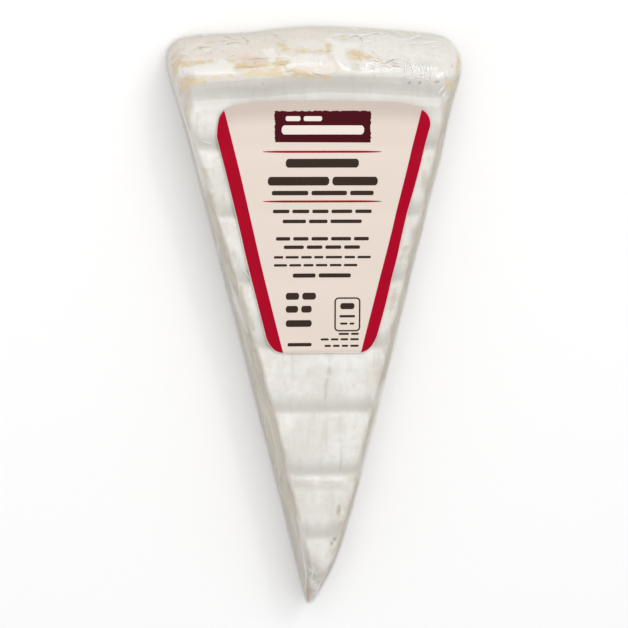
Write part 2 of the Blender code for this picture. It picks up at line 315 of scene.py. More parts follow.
# White-mould rind on soft curd, ladled, drained and wrapped while damp:
# a matt, faintly mottled off-white with tan where the bloom is rubbed thin
def bloomyRind():
    material, add, place = newMaterial("bloomyRind")
    marks = {
        name: add("ShaderNodeAttribute", out="Fac", attribute_name=name)
        for name in (
            *patches, "cutFace", "rindLine", "rindWall", "furrow", "speck", "edge", "nose", "foot", "warm",
        )
    }

    # Lays colours over one another, each as far as the product of what stands before it
    def layered(colour, layers):
        for cover, *shares, over in layers:
            for share in shares:
                cover = add("MULTIPLY", (cover, share))
            colour = add("ShaderNodeMix", {0: cover, 6: colour, 7: over}, out=2, data_type="RGBA")
        return colour

    patterns = []
    for size, detail, roughness, stretch, offset in bloomPatterns.values():
        where = add("ShaderNodeMapping", {0: place, 1: (offset, offset, 0.0), 3: stretch})
        inputs = {"Vector": where, "Scale": 1.0 / (size * mm), "Detail": detail, "Roughness": roughness}
        patterns.append(add("ShaderNodeTexNoise", inputs))
    broad, fine, streaks, ragged, flecks, shreds, blotches = patterns

    # painted highlight as well as whiter bloom, where the pure patches lie
    whiteAndGlint = add("ease", (add("MULTIPLY_ADD", (fine, 1.2, marks["pure"])), 0.75, 1.25))
    whiteAndGlint = add("MULTIPLY", (whiteAndGlint, add("ease", (marks["pure"], 0.0, 0.3))))
    bloom = layered("#E7E4DD", [
        (add("ease", (broad, 0.38, 0.62)), "#F2F0EB"),
        (add("ease", (fine, 0.48, 0.72)), 0.36, "#D6D2C8"),
        (add("ease", (streaks, 0.52, 0.72)), 0.5, "#D4CEC2"),
        (marks["warm"], add("ease", (blotches, 0.30, 0.60)), "#E3D3C2"),
        # painted shade: the rind wall greyed all over
        (marks["rindWall"], 0.62, "#DEDAD2"),
        (whiteAndGlint, 0.85, "#EBE8E2"),
        (marks["pinkish"], add("ease", (ragged, 0.40, 0.56)), "#DCC9B8"),
        # painted shade: grey patches, broken up
        (marks["dull"], add("ease", (ragged, 0.36, 0.56)), 0.8, "#CFCAC2"),
        # painted shade: grey on the falling end of each band and on the strip behind the label
        (marks["furrow"], 0.8, "#C9C5BE"),
        # painted shade: the low rind wall greyer where it curves under
        (marks["foot"], 0.7, "#CFC8BC"),
        (marks["foot"], add("ease", (ragged, 0.5, 0.6)), 0.45, "#D9CAB0"),
    ])

    # the cut sides: bare paste with small eyes. Its tone is darkened as painted shade on the steep sides,
    # darker in the eyes as painted shade in the holes, and darker low down as painted shade near the floor
    height = add("ShaderNodeSeparateXYZ", [place], out="Z")
    lowShade = add("ShaderNodeMapRange", (height, 1.0 * mm, 17.0 * mm, 1.0, 0.0))
    eyes = add("ShaderNodeTexVoronoi", {"Vector": place, "Scale": 1.0 / cheese["Eye Spacing"]})
    paste = layered("#C2B9AA", [
        (add("ease", (blotches, 0.35, 0.65)), "#D6CEBF"),
        (add("ease", (fine, 0.5, 0.75)), 0.4, "#B5AA9D"),
        (add("ease", (flecks, 0.62, 0.70)), 0.6, "#A09486"),
        (lowShade, 0.35, "#B0A79C"),
        (add("ease", (eyes, 0.15, 0.07)), 0.6, "#958A7C"),
    ])
    # the bloom smears down over their edge and ends in a thin dull line, and a line of rind is at the foot
    onSide = add("ease", (marks["cutFace"], 0.02, 0.35))
    frayed = add("MULTIPLY_ADD", (broad, 0.9, add("MULTIPLY_ADD", (streaks, 1.1, marks["cutFace"]))))
    brink = add("MULTIPLY", (add("ease", (frayed, 1.62, 1.78)), add("ease", (frayed, 1.96, 1.80))))
    footLine = add("ease", (add("MULTIPLY_ADD", (ragged, 1.6, marks["rindLine"])), 0.95, 1.35))
    stained = add("ease", (add("MULTIPLY_ADD", (ragged, 2.2, marks["stain"])), 1.4, 2.1))
    stained = add("MULTIPLY", (stained, add("ease", (marks["stain"], 0.0, 0.3))))
    # tan patches: a pale rubbed border, the tan inside it, and a thin darker rim
    crust = add("MULTIPLY_ADD", (shreds, 3.4, add("MULTIPLY_ADD", (ragged, 4.6, marks["crust"]))))
    onPatch = add("ease", (marks["crust"], 0.0, 0.3))
    tan = layered("#D4C79B", [(add("ease", (blotches, 0.42, 0.58)), "#D9C29B")])
    rim = add("MULTIPLY", (add("ease", (crust, 4.2, 4.35)), add("ease", (crust, 4.55, 4.4))))
    colour = layered(bloom, [
        (add("ease", (frayed, 0.95, 1.60)), onSide, 0.85, "#D3CCC2"),
        (add("ease", (frayed, 1.65, 2.05)), onSide, 0.95, paste),
        (brink, onSide, 0.5, "#A89E93"),
        (footLine, marks["rindLine"], 0.85, "#E2DDD3"),
        (marks["edge"], add("ease", (blotches, 0.46, 0.66)), 0.8, "#C3BAAE"),
        (marks["edge"], add("ease", (ragged, 0.52, 0.62)), 0.4, "#DACFB8"),
        (stained, 0.55, "#CDC4B1"),
        (add("ease", (crust, 4.0, 4.7)), onPatch, 0.6, "#E2D5BE"),
        (add("ease", (crust, 4.4, 4.9)), onPatch, 0.82, tan),
        (rim, marks["crust"], 0.35, "#B8A88F"),
        (marks["rindWall"], add("ease", (flecks, 0.60, 0.68)), 0.55, "#A89B89"),
        (marks["crease"], 0.75, "#B9AC96"),
        (marks["speck"], 0.8, "#8F857A"),
        # painted shade on the point where it turns down, broken by streaks
        (marks["nose"], add("ease", (streaks, 0.30, 0.65)), 0.75, "#BEB7AC"),
        (marks["blush"], 0.85, "#BE7A80"),
    ])

    felt = add("ShaderNodeBump", {"Strength": 0.35, "Distance": 0.25 * mm, "Height": fine})
    surface = add(
        "ShaderNodeBsdfPrincipled",
        {
            "Base Color": colour, "Roughness": 0.62, "IOR": 1.45, "Normal": felt,
            "Subsurface Weight": 0.25, "Subsurface Radius": (1.0, 0.8, 0.55), "Subsurface Scale": 1.6 * mm,
        },
    )
    add("ShaderNodeOutputMaterial", [surface])
    return material


# Clear cling film, blown thin and shrunk tight: no colour, a wet gloss and fine crinkles that glint
def clearFilm(name, ripple, hazeAndGlint):
    material, add, place = newMaterial(name)
    ripples = {"Vector": place, "Scale": 1.0 / (4.0 * mm), "Detail": 4.0, "Roughness": 0.6}
    ripples = add("ShaderNodeTexNoise", ripples)
    waves = add("ShaderNodeBump", {"Strength": ripple, "Distance": 0.5 * mm, "Height": ripples})
    crumple = add("ShaderNodeAttribute", out="Fac", attribute_name="crumple")
    facets = add(
        "ShaderNodeTexVoronoi", {"Vector": place, "Scale": 1.0 / (3.2 * mm)}, feature="DISTANCE_TO_EDGE"
    )
    crinkles = add(
        "ShaderNodeBump", {"Strength": crumple, "Distance": 0.4 * mm, "Height": facets, "Normal": waves},
        invert=True,
    )
    # reflects 4 % seen square on and a quarter at a glance, where its crinkles scatter the rest
    facing = add("ShaderNodeLayerWeight", {"Blend": 0.5, "Normal": crinkles}, out="Facing")
    shine = add("MULTIPLY_ADD", (add("POWER", (facing, 5.0)), 0.24, 0.045))
    clear = add("ShaderNodeBsdfTransparent", {"Color": (0.99, 0.99, 0.99, 1.0)})
    gloss = add("ShaderNodeBsdfGlossy", {"Roughness": 0.1, "Normal": crinkles})
    milky = add("ShaderNodeBsdfDiffuse", {"Color": "#FFFFFF", "Normal": crinkles})
    # where it is creased it turns white, partly as painted highlight
    ridge = add("ease", (facets, 0.0, 0.16, 1.0, 0.0))
    creaseWhiteAndGlint = add("MULTIPLY_ADD", (add("MULTIPLY", (ridge, crumple)), 0.2, hazeAndGlint))
    sheet = add("ShaderNodeMixShader", (creaseWhiteAndGlint, clear, milky))
    add("ShaderNodeOutputMaterial", [add("ShaderNodeMixShader", (shine, sheet, gloss))])
    return material


# Flexo ink on a white plastic label, gloss varnished: flat even colour under a soft shine
def printedLabel(name, hexColour, tone=0.03, thinShadedHex=None):
    material, add, place = newMaterial(name)
    screen = add("ShaderNodeTexNoise", {"Vector": place, "Scale": 1.0 / (6.0 * mm), "Detail": 3.0})
    ink = toLinear(hexColour)
    darker = tuple(part * (1.0 - tone) for part in ink[:3]) + (1.0,)
    colour = add("ShaderNodeMix", {0: screen, 6: ink, 7: darker}, out=2, data_type="RGBA")
    if thinShadedHex:
        # the thin upper edge lets the grey under it through, and is darker as painted shade under the rind's
        # ledge
        thin = add("ShaderNodeAttribute", out="Fac", attribute_name="thin")
        colour = add("ShaderNodeMix", {0: thin, 6: colour, 7: thinShadedHex}, out=2, data_type="RGBA")
    waves = add("ShaderNodeBump", {"Strength": 0.15, "Distance": 0.3 * mm, "Height": screen})
    surface = add(
        "ShaderNodeBsdfPrincipled",
        {"Base Color": colour, "Roughness": 0.34, "IOR": 1.5, "Specular IOR Level": 0.08, "Normal": waves},
    )
    add("ShaderNodeOutputMaterial", [surface])
    return material


# Tan rind seen through a split in the bloom, dried where the bloom parted: a dull, uneven brown line
def splitBloom():
    material, add, place = newMaterial("splitBloom")
    dried = add("ShaderNodeTexNoise", {"Vector": place, "Scale": 1.0 / (1.5 * mm), "Detail": 4.0})
    share = add("ShaderNodeMapRange", (dried, 0.35, 0.65))
    colour = add("ShaderNodeMix", {0: share, 6: "#9C8A70", 7: "#C0B298"}, out=2, data_type="RGBA")
    grain = add("ShaderNodeBump", {"Strength": 0.4, "Distance": 0.1 * mm, "Height": dried})
    surface = add(
        "ShaderNodeBsdfPrincipled", {"Base Color": colour, "Roughness": 0.8, "IOR": 1.45, "Normal": grain}
    )
    add("ShaderNodeOutputMaterial", [surface])
    return material


rindMaterial = bloomyRind()
filmMaterial = clearFilm("clearFilm", 0.5, 0.0)
# its creases are white beads, partly painted highlight
creaseMaterial = clearFilm("foldedFilm", 0.1, 0.8)

# Where the bloom is smeared down over the cut sides, and how much less of them is bare there
smearedEdges = [
    ([(-41, 81, 21.5), (-39.5, 75, 21.5), (-37, 66, 24), (-33.4, 50, 24)], 12),
    ([(-25.2, 13, 22), (-24.2, 9, 22)], 9), ([(38, 66, 17), (34.2, 50, 17)], 5),
    ([(18.5, -14, 22), (12, -38, 22)], 6), ([(-6.4, -54, 28), (-2.8, -75, 24)], 5.2),
]
smearShare = 0.8
# Small specks on the upper face: place and size
specks = [(24.5, 76.1, 0.6), (27.6, 76.1, 0.7), (32.5, 76.3, 0.7), (4.3, -58.4, 0.9), (3.2, -59.6, 0.6)]
# The grooves between the bands, the shade behind the label, the side edges and the rind wall, in mm
wear = {
    "grooves": [58.3, 39.0, 19.7, 0.4, -18.9, -38.2, -57.5],
    "grooveSlope": -0.026,
    "grooveShade": 5.5,
    "ledgeSlope": 0.04,
    "ledgeShade": 0.72,  # a share: how deep the shade behind the label is, and how much more at the ledge
    "underLedge": 0.06,
    "pointAt": -80.0,
    "leftEdge": (-3.4, -0.23625),  # at the point, and its slope
    "rightEdge": (2.6, 0.24125),
    "rindFrom": 74.0,
}


def nearAny(points, lines):
    return np.max([nearLine(points, line, reach) for line, reach in lines], axis=0)


def markCheese(mesh):
    points, normals = readMesh(mesh)
    x, y, z = points.T
    across, upward = np.abs(normals[:, 0]), normals[:, 2]
    speck, furrow = np.zeros((2, len(points)))
    for placeX, placeY, size in specks:
        reach = np.hypot(x - placeX, y - placeY)
        speck = np.maximum(speck, (z > 20.0) * fadeIn(-reach, -size, -0.2))
    for groove in wear["grooves"]:
        gap = y - (groove + wear["grooveSlope"] * x)  # above the groove, painted shade on the darker, falling end of a band
        furrow = np.maximum(furrow, fadeIn(gap, -1.2, 0.2) * fadeIn(-gap, -wear["grooveShade"], -0.2))
    furrow *= fadeIn(upward, 0.6, 0.9)
    # the strip behind the label lies in shade, most of all under the rind's ledge
    toLedge = y + wear["ledgeSlope"] * x
    shade = wear["ledgeShade"] + wear["underLedge"] * fadeIn(toLedge, 72.0, 75.0)
    shade = shade * fadeIn(toLedge, 66.0, 71.0) * fadeIn(-toLedge, -79.4, -78.2)
    furrow = np.maximum(furrow, shade * fadeIn(upward, 0.5, 0.8))
    edges = [start + slope * (y - wear["pointAt"]) for start, slope in (wear["leftEdge"], wear["rightEdge"])]
    edge = fadeIn(-np.minimum(x - edges[0], edges[1] - x), -8.0, -2.0) * fadeIn(upward, 0.2, 0.5)
    rindWall = fadeIn(y, wear["rindFrom"], 79.0)
    cutFace = fadeIn(across, 0.15, 0.95) * fadeIn(-y, -80.0, -wear["rindFrom"])
    cutFace *= 1.0 - smearShare * nearAny(points, smearedEdges)
    for name, values in {
        **{kind: nearAny(points, lines) for kind, lines in patches.items()},
        "speck": speck, "furrow": furrow, "edge": edge * (y < 76.0),
        "rindWall": rindWall, "warm": rindWall * fadeIn(-x, -14.0, 4.0),
        "cutFace": cutFace, "rindLine": cutFace * fadeIn(-z, -3.4, -1.2),
        "nose": fadeIn(-y, 58.0, 74.0), "foot": fadeIn(-z, -14.0, -3.0) * fadeIn(y, wear["rindFrom"], 80.0),
    }.items():
        giveValues(mesh, name, values)


def cheeseTree():
    tree, add, given = newTree("cheeseRelief", cheese, ("furrow", "cutFace"))
    place = add("GeometryNodeInputPosition")
    along = add("ShaderNodeVectorMath", (place, (1.0, 0.14, 1.0)), operation="MULTIPLY")
    furrow = add("MULTIPLY", (given["furrow"], given["Furrow Depth"]))
    scale = add("DIVIDE", (1.0, given["Eye Spacing"]))
    cells = add("ShaderNodeTexVoronoi", {"Vector": place, "Scale": scale})
    eye = add("ease", (cells, 0.04, 0.16, 1.0, 0.0))
    eye = add("MULTIPLY", (add("MULTIPLY", (eye, given["cutFace"])), given["Eye Depth"]))
    height = relief(add, given, place, "Bloom", 3.0, 0.55)
    for part in (relief(add, given, place, "Swell", 1.0, 0.55), relief(add, given, along, "Rub", 2.0, 0.55)):
        height = add("ADD", (height, part))
    for part in (furrow, eye, given["Inset"]):
        height = add("SUBTRACT", (height, part))
    # the relief never comes through the film, and the face that the cheese rests on stays flat
    height = add("MINIMUM", (height, -0.10 * mm))
    normal = add("GeometryNodeInputNormal")
    offset = add("ShaderNodeVectorMath", {0: normal, "Scale": height}, operation="SCALE")
    moved = add("GeometryNodeSetPosition", {0: given["Geometry"], "Offset": offset})
    axes = add("ShaderNodeSeparateXYZ", [place]).node.outputs
    low = add("FunctionNodeCompare", (axes["Z"], 0.25 * mm), operation="LESS_THAN", data_type="FLOAT")
    flat = add("ShaderNodeCombineXYZ", (axes["X"], axes["Y"], 0.12 * mm))
    moved = add("GeometryNodeSetPosition", {0: moved, "Selection": low, "Position": flat})
    return endTree(tree, moved, rindMaterial)


cheesePiece = newPiece("cheeseWedge", bodyMesh.copy())
markCheese(cheesePiece.data)
runTree(cheesePiece, cheeseTree(), cheese)
print("cheese made")

# The film over it
film = {
    "Slack Height": 0.18 * mm,
    "Slack Size": 9.0 * mm,
    "Crumple Height": 0.75 * mm,
    "Crumple Size": 3.4 * mm,
    "Pull Height": 0.32 * mm,  # long pulls over the cut sides
    "Pull Size": 3.0 * mm,
}
# Crumpled places: a line of points in mm, its reach, and how strongly it is crumpled
crumples = [
    ([(16.7, 83, 25.4), (23.6, 81.8, 25.8), (30, 78, 26.9)], 5, 1),
    ([(33, 79.5, 26), (35.5, 73, 26.8)], 4, 0.7), ([(-38, 79, 24), (-39, 72, 22)], 4.5, 0.4),
    ([(-20, 85.5, 20), (-6, 86, 22.5)], 5, 0.45), ([(30, 85.5, 6), (38, 83, 12)], 5, 0.45),
    ([(-36, 84.5, 6), (-28, 86, 9)], 5, 0.45), ([(-1.5, -84, 6), (0.5, -70, 24)], 6, 0.35),
]
# Folds that stand up: a line of points in mm, half a width and a height in mm
folds = [
    ([(9.7, 86.9, 19.4), (6.2, 85.8, 22.8), (4.6, 83.6, 25.6), (5.8, 81, 27.2), (9.7, 79, 27.7)], 2.4, 0.55),
    ([(9.7, 79, 27.7), (16, 79.6, 27.3), (22, 79.9, 27.1)], 1.6, 0.25),
    ([(-39.5, 82.6, 20.5), (-24.8, 83.2, 25)], 1.2, 0.3),
    ([(12, 84.8, 23), (19, 84.6, 22), (26, 84.6, 17)], 1.5, 0.3),
]


def markFilm(mesh):
    points = readMesh(mesh)[0]
    crumple = [strength * nearLine(points, line, reach * 1.6) for line, reach, strength in crumples]
    lift = [height * mm * nearLine(points, line, width) for line, width, height in folds]
    giveValues(mesh, "crumple", np.max(crumple, axis=0))
    giveValues(mesh, "lift", np.max(lift, axis=0))


def filmTree():
    tree, add, given = newTree("filmStretch", film, ("crumple", "lift"))
    place = add("GeometryNodeInputPosition")
    normal = add("GeometryNodeInputNormal")
    # crossing facets: the film is lowest in their middles and stands up where they meet
    scale = add("DIVIDE", (1.0, given["Crumple Size"]))
    facets = add("ShaderNodeTexVoronoi", {"Vector": place, "Scale": scale}, feature="DISTANCE_TO_EDGE")
    ridge = add("MULTIPLY", (add("SUBTRACT", (0.35, facets)), given["crumple"]))
    ridge = add("MULTIPLY", (ridge, given["Crumple Height"]))
    turned = {"Vector": place, "Angle": math.radians(14.0)}
    turned = add("ShaderNodeVectorRotate", turned, rotation_type="X_AXIS")
    drawn = add("ShaderNodeVectorMath", (turned, (1.0, 0.09, 1.0)), operation="MULTIPLY")
    side = add("ABSOLUTE", [add("ShaderNodeSeparateXYZ", [normal], out="X")])
    pull = add("MULTIPLY", (relief(add, given, drawn, "Pull"), side))
    height = relief(add, given, place, "Slack")
    for part in (ridge, given["lift"], pull):
        height = add("ADD", (height, part))
    height = add("MAXIMUM", (height, -0.06 * mm))
    offset = add("ShaderNodeVectorMath", {0: normal, "Scale": height}, operation="SCALE")
    upTo = add("ShaderNodeSeparateXYZ", [place], out="Z")
    clear = add("FunctionNodeCompare", (upTo, 0.4 * mm), operation="GREATER_THAN", data_type="FLOAT")
    moved = add("GeometryNodeSetPosition", {0: given["Geometry"], "Selection": clear, "Offset": offset})
    return endTree(tree, moved, filmMaterial)


filmPiece = newPiece("clingFilm", bodyMesh.copy())
markFilm(filmPiece.data)
runTree(filmPiece, filmTree(), film)
print("film made")

# Creases: fine folds of the film, drawn from points in mm and laid on it
creases = {
    "Step": 0.5 * mm,
    "End Share": 0.35,  # how much of a line it thins over, at either end
}
creaseLines = [
    ([(23.8, 81.9, 26.1), (23.5, 80.4, 27), (23.6, 78.9, 27.8)], 0.2),
    ([(25.2, 81.8, 26), (25.8, 78.2, 27.8)], 0.18),
    ([(27.5, 81.7, 25.8), (28.2, 79.4, 27.1), (28.6, 77.3, 27.9)], 0.2),
    ([(29.7, 81.3, 26), (29.7, 77.3, 28)], 0.16),
    ([(30.5, 81.1, 26), (30.9, 79, 27.2), (30.6, 77, 28)], 0.2),
    ([(24.5, 80.4, 27.1), (28.2, 80.7, 26.6)], 0.16), ([(26.9, 78.5, 27.7), (29.8, 79.1, 27.3)], 0.16),
    ([(25.4, 78.9, 27.6), (27.6, 80.8, 26.5)], 0.17), ([(24, 78.3, 27.9), (25.9, 79.6, 27.4)], 0.15),
    ([(34.5, 75.5, 28), (33.6, 74.2, 27.5), (32.4, 72.5, 27)], 0.24),
    ([(35.2, 73.6, 27.4), (33.5, 71.3, 27.2)], 0.24),
    ([(-11, -9, 27.5), (-11.5, -13, 27.3), (-11, -16.8, 26.8)], 0.11),
    ([(5.8, -26.8, 27.6), (6.3, -33, 27.5), (6, -38.8, 26.6)], 0.12),
    ([(8.2, -47.5, 27.6), (7.6, -51, 27.6), (7, -53.5, 27.4)], 0.09),
    ([(2.5, -44, 27.6), (2, -51, 27.6)], 0.1), ([(-6.2, -60, 26.5), (-4, -70, 24), (-2.4, -80, 15)], 0.11),
    ([(2.5, -64, 27), (0.4, -74, 22.5), (-1.2, -84, 12)], 0.12),
    ([(-1.8, -66, 26.8), (-1.8, -76, 20.5)], 0.14), ([(20.4, 60, 28), (31.5, 57.5, 27.4)], 0.12),
    ([(-33, 61.5, 27.3), (-30, 60.5, 27.6)], 0.12),
    ([(-24.5, 27.5, 27.6), (-20, 21.5, 27.4), (-18.6, 14, 27.5)], 0.12),
    ([(22.6, 24.8, 27.3), (19.4, 21, 27.4)], 0.11),
]
# Points where a tiny fold catches the light, on the left cut side, drawn as white beads: painted highlight
sparkles = [
    (-15.9, -19.1, 19.6), (-15.6, -19.6, 21.7), (-15, -22.4, 21.6), (-14.6, -23.8, 22.7),
    (-13.9, -26.8, 22.2), (-13, -31.1, 21.4), (-12, -34.2, 22.9), (-11.1, -38.2, 22.3),
    (-10.3, -40.3, 24.9), (-8.7, -44.8, 26.2),
]
# Bundles of short creases: middle in mm, spread, main run, how many, and the shortest and longest
creaseBundles = [
    ((18, 82.4, 26), (5.5, 1.6, 1), (1, -0.35, 0.25), 7, 2, 4.5),
    ((0.5, 82.6, 25.6), (3, 1.8, 1.2), (0.5, 0.8, -0.6), 6, 1.2, 2.6),
    ((-14, 86.4, 17), (3.5, 0.6, 3), (0.15, 0.2, -1), 7, 2.5, 6),
    ((-30, 85, 20), (5, 1.2, 3), (0.8, 0.3, -0.6), 6, 2, 4.5),
    ((10, 87, 17), (8, 0.6, 4), (1, 0.2, -0.8), 8, 2.5, 6.5),
    ((28, 85, 17), (6, 1, 4), (1, 0.1, -0.9), 7, 3, 7),
    ((-38.5, 82, 14), (1.5, 2, 5), (0.5, 0.3, 1), 6, 2, 5),
    ((-26, 26, 17), (10, 34, 8), (0.05, 0.97, 0.45), 11, 3, 8),
    ((26, 26, 17), (10, 34, 8), (0.05, 0.97, -0.45), 14, 3, 9),
    ((-11, -36, 16), (5, 24, 8), (0.05, 0.95, 0.35), 6, 2, 5),
    ((12, -36, 16), (5, 24, 8), (0.05, 0.95, -0.35), 10, 2, 6),
    ((0, 86, 7), (34, 1.5, 4), (0.35, 0.1, 1), 18, 2, 6),
]


def foldLines():
    chance = random.Random(23)
    astray, bent, girths = 0.35, 0.12, (0.08, 0.16)  # of a bundle's creases, with the girths in mm
    lines = list(creaseLines)
    for middle, spread, run, count, shortest, longest in creaseBundles:
        for _ in range(count):
            start = [place + chance.uniform(-1.0, 1.0) * reach for place, reach in zip(middle, spread)]
            start = Vector(start)
            way = Vector([part + chance.uniform(-astray, astray) for part in run]).normalized()
            length = chance.uniform(shortest, longest)
            bend = Vector([chance.uniform(-bent, bent) * length for _ in range(3)])
            points = [start, start + way * length / 2 + bend, start + way * length]
            lines.append((points, chance.uniform(*girths)))
    lines.extend(([(x, y, z), (x + 0.1, y + 0.4, z)], 0.16) for x, y, z in sparkles)
    return lines


def drawLines(name, lines):
    verts, edges, girths = [], [], []
    for line, girth in lines:
        edges.extend((len(verts) + step, len(verts) + step + 1) for step in range(len(line) - 1))
        verts.extend(Vector(point) * mm for point in line)
        girths.extend([girth * mm] * len(line))
    return drawPiece(name, verts, edges, [], girth=girths)


# Starts a tree that draws lines on a surface: also gives the lines in even steps, and the surface
def lineTree(name, names):
    tree, add, given = newTree(name, ("Onto", *names), ["girth"])
    lines = add("GeometryNodeMeshToCurve", [given["Geometry"]])
    lines = add("GeometryNodeResampleCurve", {0: lines, "Length": given["Step"]}, mode="LENGTH")
    onto = add("GeometryNodeObjectInfo", {"Object": given["Onto"]}, out="Geometry")
    return tree, add, given, lines, onto


# Draws each line as a thin round bead that tapers to its ends, pressed onto what it lies on
def beadTree(name, material):
    tree, add, given, lines, onto = lineTree(name, creases)
    place = add("GeometryNodeInputPosition")
    near = add("GeometryNodeProximity", {"Geometry": onto, "Sample Position": place}, target_element="FACES")
    lines = add("GeometryNodeSetPosition", {0: lines, "Position": near})
    share = add("GeometryNodeSplineParameter", out="Factor")
    toEnd = add("MINIMUM", (share, add("SUBTRACT", (1.0, share))))
    thinning = add("ease", (toEnd, 0.0, given["End Share"], 0.15, 1.0))
    width = add("MULTIPLY", (given["girth"], thinning))
    profile = add("GeometryNodeCurvePrimitiveCircle", {"Resolution": 6, "Radius": 1.0})
    swept = {"Curve": lines, "Profile Curve": profile, "Scale": width, "Fill Caps": True}
    return endTree(tree, add("GeometryNodeCurveToMesh", swept), material)


creasePiece = drawLines("filmCreases", foldLines())
runTree(creasePiece, beadTree("creasesOnFilm", creaseMaterial), {"Onto": filmPiece, **creases})
print("creases made:", len(creasePiece.data.polygons), "faces")

# Fine cracks in the bloom, brown where the rind under it shows: points in mm and half a width
crackLines = [
    ([(-28.7, 86.2, 19.1), (-26.3, 86.4, 17.8), (-24, 86.6, 16.4), (-22.2, 86.6, 15.3),
        (-20.7, 86.5, 17.5)], 0.1),
    ([(-25.5, 86.4, 9.1), (-24.2, 86.3, 6.4), (-23.2, 86.4, 10.8), (-21.4, 86.5, 12.6)], 0.12),
    ([(-21.4, 86.5, 12.6), (-19.7, 86.5, 10.2), (-18.6, 86.5, 14), (-19.7, 86.3, 18.3)], 0.1),
    ([(-20.3, 84, 24.2), (-19, 83.6, 24.9), (-17.6, 84, 24.4), (-16, 83.8, 24.8), (-14.6, 84, 24.7)], 0.1),
    ([(-10.1, 81.9, 27), (-9.1, 80.3, 27.7), (-7.7, 80.8, 27.5), (-6.4, 79.6, 27.8),
        (-4.8, 79.9, 27.8)], 0.1),
    ([(8.5, 87.6, 13.4), (9.4, 87.5, 16.8), (11.5, 87.4, 14.3), (12.7, 87, 17.9), (12.2, 86.4, 21.2)], 0.12),
    ([(16.3, 82.9, 26), (17.6, 81.9, 26.7), (19.4, 82.5, 26), (21.1, 82.9, 25.4), (22.5, 82.6, 25.6)], 0.12),
    ([(-33.3, 86, 17.9), (-31.6, 86.1, 18.3), (-30.2, 86.3, 18)], 0.09),
    ([(-24.2, 81.8, 26.7), (-21, 82, 26.4), (-18.4, 81.9, 26.6), (-15.6, 82, 26.5)], 0.09),
    ([(-12.2, 82.6, 26.3), (-10.4, 82.3, 26.6), (-9, 82.7, 26.5), (-8.6, 83.8, 25.7)], 0.09),
    ([(-3.2, 80.4, 27.6), (-1, 79.4, 27.8), (0.6, 79, 27.9)], 0.09),
    ([(18.6, 80.9, 27.2), (20.6, 81.2, 26.9), (22.8, 80.6, 27.1)], 0.09),
    ([(5.8, -48, 27.6), (5.4, -50, 27.5), (5.5, -52, 27.5)], 0.08),
]
crackPiece = drawLines("rindCracks", crackLines)
runTree(crackPiece, beadTree("cracksInBloom", splitBloom()), {"Onto": cheesePiece, **creases})
print("cracks made")

drawnAt = 60.0 * mm  # the label's parts are drawn flat at this height, then laid down

# The label: its outline in mm, seen from above
label = {
    "topEdge": [
        (-27, 70.3), (-23.6, 71.5), (-19.8, 72.15), (-12.9, 72.3), (-6, 72.3), (-0.4, 72.2),
        (10.7, 71.7), (21.8, 70.9), (25.2, 70.05), (28.2, 68.9),
    ],
    "border": 0.2,  # how far it reaches past its stripes
    "middle": (0.0, 36.0),
    "width": 40.0,
    "length": 70.0,
    "edgeHug": 0.7,  # how far its edge dips into the grooves: 0 spans them, 1 follows the film
    "edgeReach": 5.0,
    "topStandOff": 2.5,
    "thinTop": (1.5, 7.0),
    "span": 0.35,
    "flatHeight": 28.80 * mm,
    "lift": 0.05 * mm,
    "thickness": 0.08 * mm,
    "paper": "#E5D7CC",
    # darker where thin, partly painted shade under the rind's ledge
    "thinShadedPaper": "#CCBDB3",
}
stripes = {
    "leftOuter": [
        (-26.95, 70.15), (-28, 68.7), (-28.45, 67.2), (-28.75, 65.2), (-28.85, 63.4), (-28.65, 61.6),
        (-26.05, 50.6), (-22.8, 36.1), (-20.95, 27.3), (-18.35, 16.1), (-15.95, 6), (-15.35, 3.6),
        (-14.35, 1.5), (-12.8, -0.1), (-10.8, -0.75),
    ],
    "rightOuter": [
        (28.15, 68.75), (29.2, 67.85), (30, 66.6), (30.42, 65.1), (30.35, 63.7), (29.9, 61.9),
        (26.85, 49.4), (23.1, 34.45), (21.35, 25.8), (18.85, 15), (16.4, 5), (15.85, 3),
        (14.9, 1), (13.4, -0.65), (11.4, -1.5),
    ],
    "leftInner": [(-26.67, 69.6), (-22.1, 49.85), (-17.25, 27.1), (-14.1, 13.3), (-10.75, -0.8)],
    "rightInner": [(27.84, 68.3), (22.9, 47.2), (17.95, 25.9), (14.6, 12.2), (11.35, -1.55)],
    "ink": "#AE0025",
    "lift": 0.03 * mm,
    "thickness": 0.04 * mm,
}
plaque = {
    "corners": [(-12.9, 69.8), (13.75, 69.0), (13.8, 59.85), (-12.9, 60.7)],
    "rag": 0.16,
    "ink": "#4B0E19",
    "lift": 0.01 * mm,
    "thickness": 0.03 * mm,
}


# A line drawn smoothly through its points, in even steps
def smoothLine(points, count):
    points = np.array(points, dtype=float)
    ends = np.vstack((2 * points[0] - points[1], points, 2 * points[-1] - points[-2]))
    t = np.arange(16)[:, None] / 16
    dense = [
        0.5 * (
            2 * start + (end - before) * t + (2 * before - 5 * start + 4 * end - after) * t * t
            + (3 * start - before - 3 * end + after) * t ** 3
        )
        for before, start, end, after in zip(ends, ends[1:], ends[2:], ends[3:])
    ]
    dense = np.vstack((*dense, points[-1]))
    lengths = np.append(0.0, np.cumsum(np.linalg.norm(np.diff(dense, axis=0), axis=1)))
    wanted = np.linspace(0.0, lengths[-1], count)
    return np.stack([np.interp(wanted, lengths, values) for values in dense.T], axis=1)


